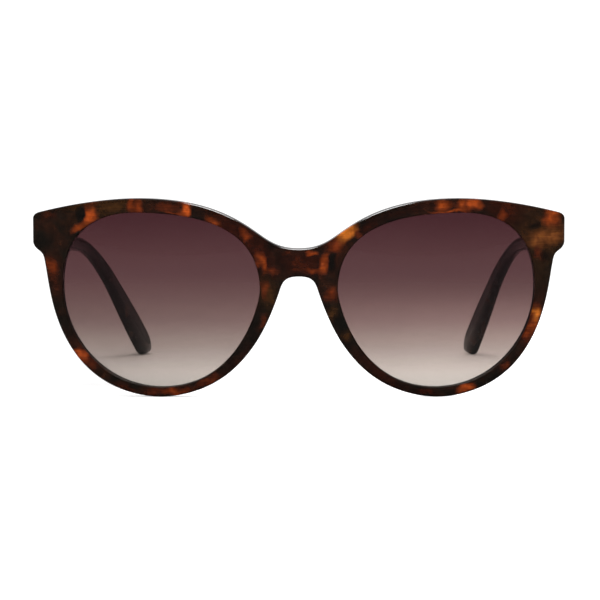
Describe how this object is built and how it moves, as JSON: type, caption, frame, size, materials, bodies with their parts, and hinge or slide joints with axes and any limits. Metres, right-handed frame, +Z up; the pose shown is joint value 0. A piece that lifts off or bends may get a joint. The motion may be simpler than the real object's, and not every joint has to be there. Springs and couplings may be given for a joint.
{
  "type": "sunglasses",
  "caption": "Cat eye sunglasses: tortoise acetate front with an upswept brow, oval gradient lenses, saddle bridge, slim dark temples on barrel hinges that fold behind the lenses.",
  "frame": {"origin": "under the middle of the whole object's box with the temples open, on the plane that the rims and temple tips stand on", "axes": "+Z up, the lenses face -Y and the temples run back along +Y; +X is to the right of someone looking at the front, which is the wearer's left"},
  "size_m": [0.1396, 0.1436, 0.0522],
  "materials": {
    "tortoise_acetate": "polished tortoiseshell acetate, amber and red-brown patches in near-black brown",
    "pad_acetate": "polished acetate to match the front",
    "temple_acetate": "polished very dark brown acetate with faint olive and brown marbling",
    "lens_tint": "smoke-plum gradient tint, dark at the brow and nearly clear at the bottom",
    "hinge_steel": "fine satin nickel-silver barrels and leaves",
    "wire_steel": "drawn flat core wire",
    "nylon": "natural nylon"
  },
  "bodies": {
    "front": {"front_frame": "tortoise_acetate", "lens_right": "lens_tint", "nose_pad_right": "pad_acetate", "hinge_front_right": "hinge_steel", "hinge_screw_right": "hinge_steel", "hinge_washer_lower_right": "nylon", "hinge_washer_upper_right": "nylon", "lens_left": "lens_tint", "nose_pad_left": "pad_acetate", "hinge_front_left": "hinge_steel", "hinge_screw_left": "hinge_steel", "hinge_washer_lower_left": "nylon", "hinge_washer_upper_left": "nylon"},
    "temple_right": {"temple_right": "temple_acetate", "core_wire_right": "wire_steel", "hinge_temple_right": "hinge_steel"},
    "temple_left": {"temple_left": "temple_acetate", "core_wire_left": "wire_steel", "hinge_temple_left": "hinge_steel"}
  },
  "joints": [
    {"name": "temple_right_fold", "type": "hinge", "parent": "front", "child": "temple_right", "pos_m": [0.0634, -0.05597, 0.04331], "axis": [0, 0.0958, 0.9954], "range_deg": [0, 84]},
    {"name": "temple_left_fold", "type": "hinge", "parent": "front", "child": "temple_left", "pos_m": [-0.0634, -0.05597, 0.04331], "axis": [0, -0.0958, -0.9954], "range_deg": [0, 74]}
  ]
}
